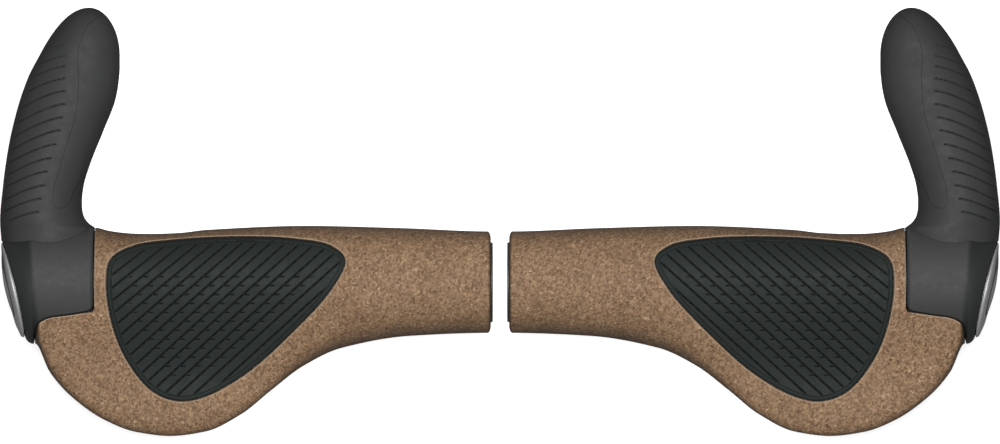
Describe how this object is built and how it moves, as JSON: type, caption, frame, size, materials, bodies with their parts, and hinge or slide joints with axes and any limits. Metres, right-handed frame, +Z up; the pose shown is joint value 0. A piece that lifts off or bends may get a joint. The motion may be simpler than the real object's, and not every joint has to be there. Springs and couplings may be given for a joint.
{
  "type": "bar end grips",
  "caption": "Winged bicycle grips in cork compound with dark rubber palm pads and clamp-on curved bar ends that tilt about the handlebar.",
  "frame": {"origin": "middle of the pair's footprint, on the plane of its lowest points; the handlebar's axis runs along X at Y = -18.1 mm, Z = 22.2 mm", "axes": "+X along the handlebar to the rider's right, +Y forward, the way the bar ends point, +Z up"},
  "size_m": [0.3006, 0.1284, 0.0392],
  "materials": {
    "nylon": "moulded glass-filled nylon",
    "cork": "cork compound, matt, fine dark and light granules",
    "pad_rubber": "soft rubber, matt",
    "composite": "fine moulded texture",
    "skin_rubber": "smooth matt rubber",
    "steel": "plated, satin",
    "silver": "satin silver"
  },
  "bodies": {
    "grips": {"left_grip_core": "nylon", "left_cork_grip": "cork", "left_palm_pad": "pad_rubber", "right_grip_core": "nylon", "right_cork_grip": "cork", "right_palm_pad": "pad_rubber"},
    "left_bar_end": {"left_bar_end_core": "composite", "left_horn_rubber": "skin_rubber", "left_horn_inlay": "skin_rubber", "left_clamp_nut": "steel", "left_end_ring": "silver", "left_end_plug": "silver"},
    "left_washer": {"left_clamp_washer": "steel"},
    "left_bolt": {"left_clamp_bolt": "steel"},
    "right_bar_end": {"right_bar_end_core": "composite", "right_horn_rubber": "skin_rubber", "right_horn_inlay": "skin_rubber", "right_clamp_nut": "steel", "right_end_ring": "silver", "right_end_plug": "silver"},
    "right_washer": {"right_clamp_washer": "steel"},
    "right_bolt": {"right_clamp_bolt": "steel"}
  },
  "joints": [
    {"name": "left_bar_end_tilt", "type": "hinge", "parent": "grips", "child": "left_bar_end", "pos_m": [-0.1305, -0.0181, 0.0222], "axis": [1, 0, 0], "range_deg": [-10, 45]},
    {"name": "left_bolt_travel", "type": "slide", "parent": "left_bar_end", "child": "left_washer", "axis": [0, -1, 0], "range_m": [0, 0.0016]},
    {"name": "left_bolt_turn", "type": "hinge", "parent": "left_washer", "child": "left_bolt", "pos_m": [-0.138, -0.0181, 0.005], "axis": [0, -1, 0], "range_deg": [0, 722]},
    {"name": "right_bar_end_tilt", "type": "hinge", "parent": "grips", "child": "right_bar_end", "pos_m": [0.1305, -0.0181, 0.0222], "axis": [1, 0, 0], "range_deg": [-10, 45]},
    {"name": "right_bolt_travel", "type": "slide", "parent": "right_bar_end", "child": "right_washer", "axis": [0, -1, 0], "range_m": [0, 0.0016]},
    {"name": "right_bolt_turn", "type": "hinge", "parent": "right_washer", "child": "right_bolt", "pos_m": [0.138, -0.0181, 0.005], "axis": [0, -1, 0], "range_deg": [0, 722]}
  ],
  "couplings": [
    {"joint": "left_bolt_turn", "follows": "left_bolt_travel", "rad_per_m": 7854},
    {"joint": "right_bolt_turn", "follows": "right_bolt_travel", "rad_per_m": 7854}
  ]
}
